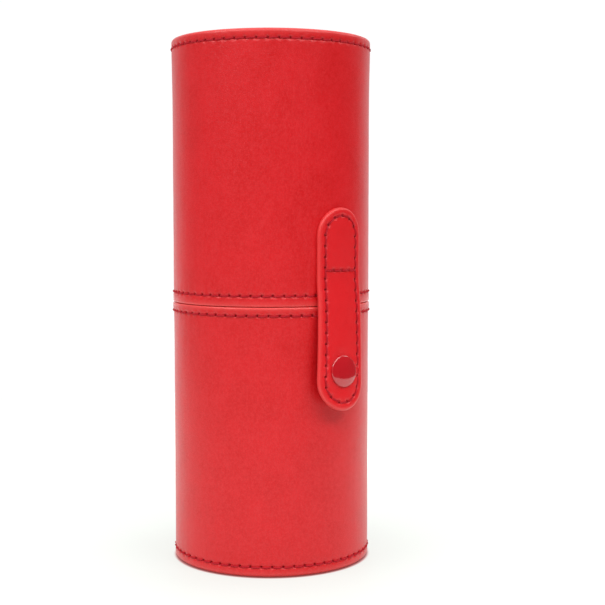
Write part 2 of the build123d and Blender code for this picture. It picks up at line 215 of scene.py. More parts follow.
# ---- tree: a turned piece, such as leather wrapped round a tube ----
def turned_tree():
    """Turns an outline round the axis, then pulls in a dimple at each needle hole along two rows."""
    board, given, keys = geometry_tree(
        "turned_piece",
        {
            "Columns": "Int", "Outline Points": "Int", "Wall Radius": "Float", "Stitches": "Int",
            "Row A": "Float", "Row B": "Float", "Start A": "Float", "Start B": "Float",
            "Hole Size": "Float", "Hole Depth": "Float", "Hole Rise": "Float", "Pull": "Float",
            "Pull Size": "Float", "Unevenness": "Float", "Lap Step": "Float", "Lap Angle": "Float",
            "Seed": "Float", "Finish": "Material",
        },
    )
    columns = given["Columns"]
    across = board.sum("ADD", columns, 1.0)
    grid = board.place(
        "GeometryNodeMeshGrid",
        {"Vertices X": board.sum("ADD", given["Outline Points"], 1.0), "Vertices Y": across},
    )
    index = board.place("GeometryNodeInputIndex").outputs[0]
    station = board.sum("FLOOR", board.sum("DIVIDE", board.sum("ADD", index, 0.5), across))
    column = board.sum("SUBTRACT", index, board.sum("MULTIPLY", station, across))
    outline_index = board.sum("MODULO", board.sum("ADD", station, 0.01), given["Outline Points"])
    position = board.place("GeometryNodeInputPosition").outputs[0]
    outline = board.place("GeometryNodeSampleIndex", data_type="FLOAT_VECTOR", domain="POINT")
    wear_and_highlight = board.place("GeometryNodeSampleIndex", data_type="FLOAT", domain="POINT")
    wear_and_highlight_read = board.place("GeometryNodeInputNamedAttribute", {"Name": "wear_and_highlight"}, data_type="FLOAT")
    for sampler, value in ((outline, position), (wear_and_highlight, wear_and_highlight_read.outputs[0])):
        board.feed(sampler.inputs["Geometry"], given["Geometry"])
        board.feed(sampler.inputs["Value"], value)
        board.feed(sampler.inputs["Index"], board.sum("FLOOR", outline_index))
    radius, _, height = board.split(outline.outputs[0])
    angle = board.sum("DIVIDE", board.sum("MULTIPLY", column, 2 * math.pi), columns)

    # needle holes: one to each stitch, on both rows
    step = board.sum("DIVIDE", board.sum("MULTIPLY", angle, given["Stitches"]), 2 * math.pi)
    stitch = board.sum(
        "DIVIDE", board.sum("MULTIPLY", given["Wall Radius"], 2 * math.pi), given["Stitches"]
    )
    unmarked_below, marked_above = 0.9 * MM, 0.5 * MM  # depths under the wall: only its outside is marked
    outside = board.soft_step(
        radius, board.sum("SUBTRACT", given["Wall Radius"], unmarked_below),
        board.sum("SUBTRACT", given["Wall Radius"], marked_above),
    )
    holes, pulls = [], []
    for row, start in (("Row A", "Start A"), ("Row B", "Start B")):
        above = board.sum("SUBTRACT", board.sum("SUBTRACT", height, given[row]), given["Hole Rise"])
        along = board.sum("PINGPONG", board.sum("SUBTRACT", step, given[start]), 0.5)
        beside = board.sum("MULTIPLY", along, stitch)
        for kept, size in ((holes, "Hole Size"), (pulls, "Pull Size")):
            shares = board.bell(beside, given[size]), board.bell(above, given[size])
            kept.append(board.sum("MULTIPLY", *shares))
    hole = board.sum("MULTIPLY", board.sum("MAXIMUM", *holes), outside)
    pull = board.sum("MULTIPLY", board.sum("MAXIMUM", *pulls), outside)

    # the leather isn't perfectly even over the board, and its two edges lap on one line
    turn = board.vector(board.sum("COSINE", angle), board.sum("SINE", angle), 0.0)
    around = board.split(turn)
    waves_round, waves_up = 2.3, 42.0  # how fast the unevenness changes round the wall and up it
    spot = board.vector(
        board.sum("MULTIPLY", around[0], waves_round), board.sum("MULTIPLY", around[1], waves_round),
        board.sum("MULTIPLY", height, waves_up),
    )
    waves = board.place(
        "ShaderNodeTexNoise", {"Vector": spot, "W": given["Seed"], "Scale": 2.2, "Detail": 2.5},
        noise_dimensions="4D",
    )
    swell = board.sum(
        "MULTIPLY", board.sum("SUBTRACT", waves.outputs[0], 0.5), given["Unevenness"]
    )
    from_lap = board.sum("SUBTRACT", angle, given["Lap Angle"])
    past_lap = board.sum("MULTIPLY", from_lap, given["Wall Radius"])
    lap_edge, ease_start, ease_end = 0.3 * MM, 0.5 * MM, 24.0 * MM
    lap = board.sum(
        "MULTIPLY",
        board.soft_step(past_lap, -lap_edge, lap_edge),
        board.sum("SUBTRACT", 1.0, board.soft_step(past_lap, ease_start, ease_end)),
    )
    lift = board.sum("ADD", swell, board.sum("MULTIPLY", lap, given["Lap Step"]))
    sink = board.sum(
        "ADD", board.sum("MULTIPLY", hole, given["Hole Depth"]), board.sum("MULTIPLY", pull, given["Pull"])
    )
    change = board.sum("SUBTRACT", board.sum("MULTIPLY", lift, outside), sink)
    new_radius = board.sum("ADD", radius, change)
    place = board.vector(
        board.sum("MULTIPLY", around[0], new_radius), board.sum("MULTIPLY", around[1], new_radius), height
    )
    geometry = board.place("GeometryNodeSetPosition", {"Geometry": grid.outputs[0], "Position": place})
    # stored for the finish: the hole share, which darkens the leather as painted shade, and the mark for wear and
    # a painted highlight
    for label, value in (("hole", hole), ("wear_and_highlight", wear_and_highlight.outputs[0])):
        stored = board.place("GeometryNodeStoreNamedAttribute", data_type="FLOAT", domain="POINT")
        board.feed(stored.inputs["Geometry"], geometry.outputs[0])
        board.feed(stored.inputs["Name"], label)
        board.feed(stored.inputs["Value"], value)
        geometry = stored
    merged = board.place(
        "GeometryNodeMergeByDistance", {"Geometry": geometry.outputs[0], "Distance": weld}
    )
    faces_beside = board.place("GeometryNodeInputMeshEdgeNeighbors").outputs[0]
    bare = board.place("FunctionNodeCompare", data_type="INT", operation="EQUAL")
    board.feed(bare.inputs["A"], faces_beside)
    cleared = board.place(
        "GeometryNodeDeleteGeometry", {"Geometry": merged.outputs[0]}, domain="EDGE", mode="EDGE_FACE"
    )
    board.feed(cleared.inputs["Selection"], bare.outputs[0])
    smooth = board.place("GeometryNodeSetShadeSmooth", {"Geometry": cleared.outputs[0]})
    close_tree(board, smooth.outputs[0], given["Finish"])
    return board.tree, keys


# ---- tree: a sewn row along a path ----
def sewn_tree():
    """Lays one stitch after another along a path, each arched out of one needle hole and into the next."""
    board, given, keys = geometry_tree(
        "sewn_row",
        {
            "Stitches": "Int", "Stitch Length": "Float", "Thread Radius": "Float", "Rise": "Float",
            "Dive": "Float", "Slant": "Float", "Side": "Float", "Wander": "Float", "Seed": "Int",
            "Thread": "Material",
        },
    )
    flat_share = 0.72  # the share of a stitch that lies flat
    half = board.sum("MULTIPLY", given["Stitch Length"], 0.5)
    shoulder = board.sum("MULTIPLY", half, flat_share)
    low = board.sum("MULTIPLY", given["Dive"], -1.0)
    # handles at this height bring the middle of the arch up to the rise
    eight_rises, two_lows = board.sum("MULTIPLY", given["Rise"], 8.0), board.sum("MULTIPLY", low, 2.0)
    crest = board.sum("DIVIDE", board.sum("SUBTRACT", eight_rises, two_lows), 6.0)

    def mirrored(value):
        return board.sum("MULTIPLY", value, -1.0)

    arch = board.place(
        "GeometryNodeCurvePrimitiveBezierSegment",
        {
            "Resolution": 9,
            "Start": board.vector(mirrored(half), mirrored(given["Slant"]), low),
            "Start Handle": board.vector(mirrored(shoulder), mirrored(given["Slant"]), crest),
            "End Handle": board.vector(shoulder, given["Slant"], crest),
            "End": board.vector(half, given["Slant"], low),
        },
        mode="POSITION",
    )
    round_thread = board.place(
        "GeometryNodeCurvePrimitiveCircle",
        {"Resolution": 7, "Radius": given["Thread Radius"]},
        mode="RADIUS",
    )
    stitch = board.place(
        "GeometryNodeCurveToMesh",
        {"Curve": arch.outputs[0], "Profile Curve": round_thread.outputs[0], "Fill Caps": True},
    )
    own_place = board.place("GeometryNodeInputPosition").outputs[0]
    stitch_marked = board.place(
        "GeometryNodeStoreNamedAttribute",
        {"Geometry": stitch.outputs[0], "Name": "thread"},
        data_type="FLOAT_VECTOR", domain="POINT",
    )
    board.feed(stitch_marked.inputs["Value"], own_place)
    stitch_smooth = board.place("GeometryNodeSetShadeSmooth", {"Geometry": stitch_marked.outputs[0]})

    path = board.place("GeometryNodeMeshToCurve", {"Mesh": given["Geometry"]})
    spaced = board.place(
        "GeometryNodeResampleCurve", {"Curve": path.outputs[0], "Count": given["Stitches"]}, mode="COUNT"
    )
    x, y, _ = board.split(board.place("GeometryNodeInputPosition").outputs[0])
    away = board.vector(
        board.sum("MULTIPLY", x, given["Side"]), board.sum("MULTIPLY", y, given["Side"]), 0.0
    )
    tangent = board.place("GeometryNodeInputTangent").outputs[0]
    lengthways = board.place("FunctionNodeAlignRotationToVector", {"Vector": tangent}, axis="X")
    facing = board.place(
        "FunctionNodeAlignRotationToVector",
        {"Rotation": lengthways.outputs[0], "Vector": away},
        axis="Z", pivot_axis="X",
    )
    wobble = board.place(
        "FunctionNodeRandomValue", {"Seed": given["Seed"]}, data_type="FLOAT_VECTOR"
    )
    wander = given["Wander"]
    board.feed(wobble.inputs["Min"], board.vector(0.0, 0.0, mirrored(wander)))
    board.feed(wobble.inputs["Max"], board.vector(0.0, 0.0, wander))
    as_turn = board.place("FunctionNodeEulerToRotation", {"Euler": wobble.outputs[0]})
    turned = board.place(
        "FunctionNodeRotateRotation",
        {"Rotation": facing.outputs[0], "Rotate By": as_turn.outputs[0]},
        rotation_space="LOCAL",
    )
    laid = board.place(
        "GeometryNodeInstanceOnPoints",
        {"Points": spaced.outputs[0], "Instance": stitch_smooth.outputs[0], "Rotation": turned.outputs[0]},
    )
    close_tree(board, laid.outputs[0], given["Thread"])
    return board.tree, keys


turned_piece = turned_tree()
sewn_row = sewn_tree()


# ---- outlines ----
def rounded(corners, steps=6):
    """A closed outline through corners given as (radius, height) or (radius, height, rounding)."""
    made = []
    for k, corner in enumerate(corners):
        here = np.array(corner[:2], float)
        bend = corner[2] if len(corner) > 2 else 0
        if not bend:
            made.append(here)
            continue
        back = np.array(corners[k - 1][:2], float) - here
        ahead = np.array(corners[(k + 1) % len(corners)][:2], float) - here
        back /= np.linalg.norm(back)
        ahead /= np.linalg.norm(ahead)
        half = math.acos(np.clip(back @ ahead, -1, 1)) / 2
        middle = (back + ahead) / np.linalg.norm(back + ahead)
        centre = here + middle * bend / math.sin(half)
        first = (here + back * bend / math.tan(half) - centre) / bend
        last = (here + ahead * bend / math.tan(half) - centre) / bend
        sweep = math.acos(np.clip(first @ last, -1, 1))
        for i in range(steps + 1):
            t = i / steps
            mixed = (math.sin((1 - t) * sweep) * first + math.sin(t * sweep) * last) / math.sin(sweep)
            made.append(centre + bend * mixed)
    return made


def clockwise(points):
    """The same closed outline, run clockwise, so that the faces made from it look out."""
    pts = np.array(points, float)
    following = np.roll(pts, -1, axis=0)
    twice_area = (pts[:, 0] * following[:, 1] - following[:, 0] * pts[:, 1]).sum()
    return pts[::-1] if twice_area > 0 else pts


def outline_mesh(name, points, wear_and_highlight_near=()):
    """The outline as loose points, marked for wear and a painted highlight near given spots: (radius, height,
    spread, strength).
    """
    pts = clockwise(points)
    mesh = bpy.data.meshes.new(name)
    mesh.from_pydata([(r * MM, 0, z * MM) for r, z in pts], [], [])
    wear_and_highlight = np.zeros(len(pts))
    for r, z, spread, strength in wear_and_highlight_near:
        away = (pts[:, 0] - r) ** 2 + (pts[:, 1] - z) ** 2
        wear_and_highlight = np.maximum(wear_and_highlight, strength * np.exp(-(away / spread**2)))
    mesh.attributes.new("wear_and_highlight", "FLOAT", "POINT").data.foreach_set("value", wear_and_highlight.astype(np.float32))
    return mesh


def turned(name, points, material, columns=360, wear_and_highlight_near=(), **settings):
    """A turned piece from its outline in millimetres. Any input of the tree can be set by its name."""
    no_row = -1.0  # a height in metres that no piece reaches
    values = {
        "Columns": columns, "Outline Points": len(points), "Finish": material,
        "Wall Radius": wall * MM, "Stitches": stitches_round,
        "Row A": no_row, "Row B": no_row, "Start A": 0.0, "Start B": 0.0,
        "Hole Size": 0.4 * MM, "Hole Depth": 0.0, "Hole Rise": 0.0, "Pull": 0.0, "Pull Size": 1.0 * MM,
        "Unevenness": 0.0, "Lap Step": 0.0, "Lap Angle": math.pi / 2, "Seed": 0.0,
    }
    values.update({label.replace("_", " ").title(): value for label, value in settings.items()})
    return shown(name, grown(name, outline_mesh(name, points, wear_and_highlight_near), turned_piece, values))


def circle_path(name, radius, height, phase):
    """A ring of points and edges for a row of stitches to follow, starting phase stitches round."""
    per_stitch = 4
    count = stitches_round * per_stitch
    angles = [(k + phase * per_stitch) * 2 * math.pi / count for k in range(count)]
    mesh = bpy.data.meshes.new(name)
    mesh.from_pydata(
        [(radius * MM * math.cos(a), radius * MM * math.sin(a), height * MM) for a in angles],
        [(k, (k + 1) % count) for k in range(count)],
        [],
    )
    return mesh


def open_path(name, points, closed=False):
    """A path of points in metres."""
    mesh = bpy.data.meshes.new(name)
    edges = [(k, k + 1) for k in range(len(points) - 1)]
    if closed:
        edges.append((len(points) - 1, 0))
    mesh.from_pydata([tuple(p) for p in points], edges, [])
    return mesh


dive, slant, wander = 0.62, 0.10, 0.035  # how deep a stitch goes, its slant, and its straying in radians


def stitched(name, path, count, length, seed, side=1.0, rise=0.09, gauge=0.28):
    """A row of thread along a path, as a mesh. side is -1 where it lies on an inner face."""
    return grown(
        name, path, sewn_row,
        {
            "Stitches": count, "Stitch Length": length * MM, "Thread Radius": gauge * MM, "Rise": rise * MM,
            "Dive": dive * MM, "Slant": slant * MM, "Side": side, "Wander": wander, "Seed": seed,
            "Thread": finishes["thread"],
        },
    )


def joined(name, meshes):
    """Several meshes as one piece, each keeping its shading and marks."""
    parts = [shown(f"{name}_{k}", mesh) for k, mesh in enumerate(meshes)]
    with bpy.context.temp_override(
        active_object=parts[0], selected_editable_objects=parts, selected_objects=parts, object=parts[0]
    ):
        bpy.ops.object.join()
    mesh = parts[0].data
    parts[0].name = name
    mesh.name = name
    return parts[0]


# ---- finishes ----
finishes = {}


def finish(name):
    """A new material's board, with its shader and a way to end it."""
    material = bpy.data.materials.new(name)
    material.use_nodes = True
    tree = material.node_tree
    tree.nodes.clear()
    board = Board(tree)
    shader = board.place("ShaderNodeBsdfPrincipled")
    out = board.place("ShaderNodeOutputMaterial")
    tree.links.new(shader.outputs[0], out.inputs["Surface"])
    finishes[name] = material
    return board, shader.inputs


def own_coordinates(board):
    """The case's own coordinates in millimetres."""
    spot = board.place("ShaderNodeTexCoord").outputs["Object"]
    scaled = board.place("ShaderNodeVectorMath", {0: spot, 1: (1 / MM,) * 3}, operation="MULTIPLY")
    return scaled.outputs[0]


def noise(board, spot, size, detail=3.0, roughness=0.5):
    """A noise whose blotches are about size millimetres across."""
    return board.place(
        "ShaderNodeTexNoise", {"Vector": spot, "Scale": 1 / size, "Detail": detail, "Roughness": roughness}
    ).outputs[0]


def mixed_colour(board, share, a, b):
    """Colour a where share is 0 and b where it is 1."""
    node = board.place("ShaderNodeMix", data_type="RGBA")
    board.feed(node.inputs[0], share)
    board.feed(node.inputs[6], a)
    board.feed(node.inputs[7], b)
    return node.outputs[2]


def bumped(board, height, strength, distance, before=None):
    """A bump from a height in millimetres."""
    node = board.place(
        "ShaderNodeBump", {"Strength": strength, "Distance": distance * MM, "Height": height}
    )
    if before is not None:
        board.feed(node.inputs["Normal"], before)
    return node.outputs[0]


def red_leather():
    """Smooth red leather: a fine pressed grain, faint clouding, painted shade in the needle holes, and lips that
    are paler from wear and a painted highlight.
    """
    board, shader = finish("leather_red")
    spot = own_coordinates(board)
    pebble_size = 0.62
    grain = board.place(
        "ShaderNodeTexVoronoi", {"Vector": spot, "Scale": 1 / pebble_size, "Randomness": 0.9},
        feature="DISTANCE_TO_EDGE",
    ).outputs[0]
    pebble = board.soft_step(grain, 0.0, 0.22)
    fine = noise(board, spot, 0.28, 2.0)
    cloud = noise(board, spot, 14.0, 4.0, 0.6)
    speck = noise(board, spot, 1.7, 3.0, 0.6)
    grit = noise(board, spot, 0.7, 2.0, 0.6)
    hole = board.place("ShaderNodeAttribute", attribute_name="hole").outputs["Fac"]
    wear_and_highlight = board.place("ShaderNodeAttribute", attribute_name="wear_and_highlight").outputs["Fac"]
    base = mixed_colour(
        board, board.soft_step(cloud, 0.3, 0.7), (0.63, 0.002, 0.004, 1), (0.70, 0.005, 0.009, 1)
    )
    base = mixed_colour(
        board, board.sum("MULTIPLY", board.soft_step(speck, 0.35, 0.7), 0.42), base, (0.72, 0.022, 0.028, 1)
    )
    base = mixed_colour(
        board, board.sum("MULTIPLY", board.soft_step(grit, 0.4, 0.7), 0.45), base, (0.73, 0.025, 0.031, 1)
    )
    fresh = board.place("ShaderNodeAttribute", attribute_name="fresh").outputs["Fac"]
    base = mixed_colour(board, fresh, base, (0.76, 0.008, 0.013, 1))
    creased = board.sum("MULTIPLY", board.sum("SUBTRACT", 1.0, pebble), 0.22)
    base = mixed_colour(board, creased, base, (0.42, 0.012, 0.016, 1))
    # paler, glossier lips and strap rims: partly wear, partly a painted highlight
    base = mixed_colour(board, board.sum("MULTIPLY", wear_and_highlight, 0.6), base, (0.90, 0.12, 0.11, 1))
    # painted shade: the leather darkens at each needle hole
    base = mixed_colour(board, board.soft_step(hole, 0.25, 0.8), base, (0.25, 0.001, 0.003, 1))
    board.feed(shader["Base Color"], base)
    rough = board.sum("ADD", 0.30, board.sum("MULTIPLY", cloud, 0.08))
    rough = board.sum("SUBTRACT", rough, board.sum("MULTIPLY", wear_and_highlight, 0.12))
    rough = board.sum("ADD", rough, board.sum("MULTIPLY", hole, 0.6))
    board.feed(shader["Roughness"], rough)
    relief = board.sum("ADD", board.sum("MULTIPLY", pebble, 0.7), board.sum("MULTIPLY", fine, 0.3))
    board.feed(shader["Normal"], bumped(board, relief, 0.6, 0.06))
    shader["IOR"].default_value = 1.45
    shader["Sheen Weight"].default_value = 0.04
    shader["Sheen Roughness"].default_value = 0.3


def sewing_thread():
    """Dark red bonded thread, twisted, with painted shade where it dives into a needle hole."""
    board, shader = finish("thread")
    lay = board.place("ShaderNodeAttribute", attribute_name="thread").outputs["Vector"]
    x, y, z = board.split(lay)
    lay_along, lay_across = 0.46 * MM, 0.56 * MM  # one turn of the twist, measured both ways
    across = board.sum(
        "ADD", board.sum("MULTIPLY", x, 1 / lay_along), board.sum("MULTIPLY", y, 1 / lay_across)
    )
    twist = board.sum("PINGPONG", across, 0.5)
    spot = own_coordinates(board)
    fuzz = noise(board, spot, 0.5, 3.0)
    shade = board.sum("ADD", board.sum("MULTIPLY", twist, 1.2), board.sum("MULTIPLY", fuzz, 0.5))
    base = mixed_colour(
        board, board.soft_step(shade, 0.1, 0.95), (0.35, 0.005, 0.012, 1), (0.54, 0.014, 0.027, 1)
    )
    # painted shade: the thread darkens where it dives into its hole
    diving_shade = board.soft_step(z, -0.34 * MM, -0.02 * MM)
    board.feed(shader["Base Color"], mixed_colour(board, diving_shade, (0.28, 0.002, 0.006, 1), base))
    board.feed(shader["Normal"], bumped(board, twist, 0.6, 0.12))
    shader["Roughness"].default_value = 0.6
    shader["Specular IOR Level"].default_value = 0.15


def snap_lacquer():
    """Deep red lacquer on the snap's cap."""
    board, shader = finish("snap_lacquer")
    spot = own_coordinates(board)
    cloud = noise(board, spot, 3.0, 2.0)
    board.feed(
        shader["Base Color"],
        mixed_colour(board, cloud, (0.46, 0.004, 0.010, 1), (0.52, 0.006, 0.013, 1)),
    )
    scuff = noise(board, spot, 0.6, 4.0, 0.7)
    board.feed(shader["Roughness"], board.sum("ADD", 0.10, board.sum("MULTIPLY", scuff, 0.08)))
    board.feed(shader["Normal"], bumped(board, noise(board, spot, 1.6, 2.0), 0.03, 0.1))
    shader["Coat Weight"].default_value = 1.0
    shader["Coat Roughness"].default_value = 0.04


def nickel():
    """Bright nickel of the snap's hidden halves, a little scratched."""
    board, shader = finish("snap_metal")
    spot = own_coordinates(board)
    scratch = noise(board, spot, 0.35, 5.0, 0.7)
    board.feed(
        shader["Base Color"], mixed_colour(board, scratch, (0.46, 0.44, 0.41, 1), (0.66, 0.63, 0.59, 1))
    )
    board.feed(shader["Roughness"], board.sum("ADD", 0.16, board.sum("MULTIPLY", scratch, 0.22)))
    board.feed(shader["Normal"], bumped(board, scratch, 0.08, 0.05))
    shader["Metallic"].default_value = 1.0


def black_lining():
    """Short-nap black microfibre, brushed one way and the other."""
    board, shader = finish("lining")
    spot = own_coordinates(board)
    nap = noise(board, spot, 0.22, 4.0, 0.7)
    brushed = noise(board, spot, 16.0, 3.0, 0.6)
    shade = board.sum("ADD", board.sum("MULTIPLY", nap, 0.6), board.sum("MULTIPLY", brushed, 0.5))
    board.feed(
        shader["Base Color"],
        mixed_colour(
            board, board.soft_step(shade, 0.3, 0.8), (0.012, 0.012, 0.013, 1), (0.045, 0.044, 0.046, 1)
        ),
    )
    board.feed(shader["Normal"], bumped(board, nap, 0.5, 0.1))
    shader["Roughness"].default_value = 0.92
    shader["Sheen Weight"].default_value = 0.5
    shader["Sheen Roughness"].default_value = 0.4


def grey_board():
    """Dense grey bookbinder's board, with pale fibres."""
    board, shader = finish("board")
    spot = own_coordinates(board)
    fibre = noise(board, spot, 0.8, 6.0, 0.75)
    cloud = noise(board, spot, 9.0, 3.0)
    shade = board.sum("ADD", board.sum("MULTIPLY", fibre, 0.7), board.sum("MULTIPLY", cloud, 0.3))
    board.feed(
        shader["Base Color"],
        mixed_colour(
            board, board.soft_step(shade, 0.35, 0.7), (0.30, 0.25, 0.20, 1), (0.50, 0.43, 0.35, 1)
        ),
    )
    board.feed(shader["Normal"], bumped(board, fibre, 0.4, 0.1))
    shader["Roughness"].default_value = 0.88


for make in (red_leather, sewing_thread, snap_lacquer, nickel, black_lining, grey_board):
    make()

slot_of = {entry["node"]: entry["material_slot"] for entry in frame["record"]["subparts"]}
for node, part in frame["nodes"].items():
    part.data.materials.clear()
    part.data.materials.append(finishes[slot_of[node]])


# ---- leather round the two tubes ----
def wall_points(top, bottom, rows, fullness):
    """The wall's outside line from top to bottom, fuller at the hems and drawn in at the stitch rows."""
    band, clear_of_row = 1.5, 1.6  # points lie close together in a band either side of each row
    groove_depth, groove_reach = 0.12, 0.55
    coarse = np.linspace(top, bottom, 26)
    near_row = [abs(coarse - row) < clear_of_row for row in rows]
    coarse = coarse[~np.any(near_row, axis=0)]
    bands = [row + np.linspace(-band, band, 17) for row in rows]
    heights = np.sort(np.concatenate([coarse, *bands]))[::-1]
    groove = sum(groove_depth * np.exp(-(((heights - row) / groove_reach) ** 2)) for row in rows)
    radii = wall + fullness(heights) - groove
    return list(zip(radii, heights))


def cup_fullness(z):
    """How far the cup's leather stands out: a hem at the mouth, and a smaller one at the base."""
    all_over, mouth_fold, base_fold, mouth_swell, swell_reach = 0.20, 0.30, 0.12, 0.10, 9.0
    at_mouth = mouth_fold / (1 + np.exp(-(z - row_cup_mouth + 0.2) / 0.35))
    at_base = base_fold / (1 + np.exp((z - row_cup_base) / 0.5))
    return all_over + at_mouth + at_base + mouth_swell * np.exp(-(((cup_top - z) / swell_reach) ** 2))


def lid_fullness(z):
    """How far the lid's leather stands out: a hem at the mouth, and a swell towards the closed end."""
    all_over, mouth_fold, end_swell, swell_reach = 0.33, 0.16, 0.34, 16.0
    at_mouth = mouth_fold / (1 + np.exp((z - row_lid_mouth) / 0.4))
    return all_over + at_mouth + end_swell * np.exp(-(((lid_top - z) / swell_reach) ** 2))


def wrapped(hem_face, top, bottom, top_round, bottom_round, hem_high, hem_low, rows, fullness):
    """The outline of leather that runs over the wall and round both edges, and is turned in behind."""
    past_round = 0.15  # the wall's first point lies this far past the rounding
    bore = hem_face + skin
    walls = wall_points(top - top_round - past_round, bottom + bottom_round + past_round, rows, fullness)
    return rounded(
        [
            (hem_face, top, skin / 2),
            (walls[0][0], top, top_round),
            *walls,
            (walls[-1][0], bottom, bottom_round),
            (hem_face, bottom, skin / 2),
            (hem_face, bottom + hem_low),
            (bore, bottom + hem_low),
            (bore, bottom + skin),
            (board_face, bottom + skin),
            (board_face, top - skin),
            (bore, top - skin),
            (bore, top - hem_high),
            (hem_face, top - hem_high),
        ]
    )


mouth_hem, end_hem = 12.0, 5.0
cup_lip_round, lid_lip_round, rim_round = 0.75, 0.65, 1.35
lip_meet = 0.08  # how far each soft lip reaches into the gap of the seam
leather_columns = stitches_round * 16
hole_size, hole_depth, pull_size, pull = 0.42, 0.45, 0.90, 0.34
sewn_leather = {
    "hole_size": hole_size * MM, "hole_depth": hole_depth * MM, "hole_rise": 0.12 * MM,
    "pull": pull * MM, "pull_size": pull_size * MM, "unevenness": 0.22 * MM, "lap_step": 0.17 * MM,
}
first_hole = {"cup_mouth": 0.646, "cup_base": 0.943, "lid_top": 0.622, "lid_mouth": 0.039}  # in stitches

cup_leather = turned(
    "cup_leather",
    wrapped(
        cup_hem_face, cup_top + lip_meet, 0.0, cup_lip_round, rim_round, mouth_hem, end_hem,
        (row_cup_mouth, row_cup_base), cup_fullness,
    ),
    finishes["leather_red"], leather_columns,
    # the lips are marked for wear and a painted highlight, most strongly at the cup's mouth
    wear_and_highlight_near=((wall + 0.3, cup_top, 0.9, 1.0), (wall, 0.0, 1.6, 0.55)),
    row_a=row_cup_mouth * MM, row_b=row_cup_base * MM, start_a=first_hole["cup_mouth"],
    start_b=first_hole["cup_base"], seed=3.0, **sewn_leather,
)
fit_out(cup_leather, "leather_red", "cup", "cup_outer_cover")

lid_leather = turned(
    "lid_leather",
    wrapped(
        lid_hem_face, lid_top, lid_base - lip_meet, rim_round, lid_lip_round, end_hem, mouth_hem,
        (row_lid_top, row_lid_mouth), lid_fullness,
    ),
    finishes["leather_red"], leather_columns,
    wear_and_highlight_near=((wall, lid_top, 1.7, 0.6), (wall + 0.3, lid_base, 0.9, 0.8)),
    row_a=row_lid_top * MM, row_b=row_lid_mouth * MM, start_a=first_hole["lid_top"],
    start_b=first_hole["lid_mouth"], seed=7.0, **sewn_leather,
)
fit_out(lid_leather, "leather_red", "lid", "lid_outer_cover")

# ---- leather discs on the closed ends, set a hair below the turned edge ----
thin_skin = 0.6


def end_disc(radius, face, inward):
    """The outline of an end's leather disc, a little pillowed, with its edge turned in."""
    gap, sunk, fall, rounding = 0.08, 0.12, 0.10, 0.5
    back = face + inward * skin
    edge = radius - gap
    across = np.linspace(0, edge - 1.2, 10)
    pillow = [(r, face + inward * (sunk + fall * (r / edge) ** 4)) for r in across]
    return rounded(
        [
            *pillow,
            (edge, face + inward * (sunk + fall), rounding),
            (edge, face + inward * end_hem),
            (edge - thin_skin, face + inward * end_hem),
            (edge - thin_skin, back),
            (0, back),
        ]
    )


base_disc = turned("cup_base_leather", end_disc(cup_hem_face, 0.0, 1), finishes["leather_red"])
fit_out(base_disc, "leather_red", "cup", "cup_base_cover")
top_disc = turned("lid_top_leather", end_disc(lid_hem_face, lid_top, -1), finishes["leather_red"])
fit_out(top_disc, "leather_red", "lid", "lid_top_cover")

# ---- collar ----
collar_low, collar_high = box_mm("collar_facing")
collar_face, collar_top = collar_high[0], collar_high[2]
collar_core = box_mm("collar_board")[1][0]
collar_bore = box_mm("cup_wall_lining")[1][0]
cup_bore = collar_bore - lining
collar_turn = box_mm("cup_wall_lining")[1][2]
side_heights = np.linspace(collar_top - 1.0, collar_low[2], 14)
collar = turned(
    "collar_leather",
    rounded(
        [
            (cup_bore, collar_top, 0.55),
            (collar_face, collar_top, 0.6),
            *[(collar_face, z) for z in side_heights],
            (collar_core, collar_low[2]),
            (collar_core, collar_top - thin_skin),
            (collar_bore, collar_top - thin_skin),
            (collar_bore, collar_turn),
            (cup_bore, collar_turn, 0.2),
        ]
    ),
    finishes["leather_red"], 480,
    wear_and_highlight_near=((collar_face, collar_top, 1.0, 0.6), (cup_bore, collar_top, 0.8, 0.6)),
    wall_radius=collar_face * MM, unevenness=0.10 * MM, lap_step=0.12 * MM, seed=11.0,
)
fit_out(collar, "leather_red", "cup", "collar_facing")


# ---- linings ----
def lining_tube(bore, back, low, high):
    """The outline of a thin lining tube, eased at its ends."""
    end = 0.4  # clear of the eased ends
    heights = np.linspace(low + end, high - end, 22)[::-1]
    ends = [(bore, low, 0.15), (back, low), (back, high), (bore, high, 0.25)]
    return rounded([*ends, *[(bore, z) for z in heights]])


def lining_disc(radius, face, back):
    """The outline of a lining disc: face is the side that shows."""
    sag = math.copysign(0.1, face - back)
    shown_side = [(r, face - sag * (1 - (r / radius) ** 2)) for r in np.linspace(0, radius - 0.4, 10)]
    return rounded([*shown_side, (radius, face, 0.2), (radius, back), (0, back)])


floor_low, floor_top = (corner[2] for corner in box_mm("cup_floor_lining"))
ceiling_low, ceiling_high = box_mm("lid_ceiling_lining")
lid_lining_low, lid_lining_high = box_mm("lid_wall_lining")
linings = (
    ("cup_wall_nap", "cup", "cup_wall_lining", lining_tube(cup_bore, collar_bore, floor_top, collar_turn)),
    ("cup_floor_nap", "cup", "cup_floor_lining", lining_disc(collar_bore, floor_top, floor_low)),
    (
        "lid_wall_nap", "lid", "lid_wall_lining",
        lining_tube(lid_lining_high[0] - lining, lid_lining_high[0], lid_lining_low[2], lid_lining_high[2]),
    ),
    (
        "lid_ceiling_nap", "lid", "lid_ceiling_lining",
        lining_disc(ceiling_high[0], ceiling_low[2], ceiling_high[2]),
    ),
)
for name, body, node, outline in linings:
    fit_out(turned(name, outline, finishes["lining"], 240), "lining", body, node)

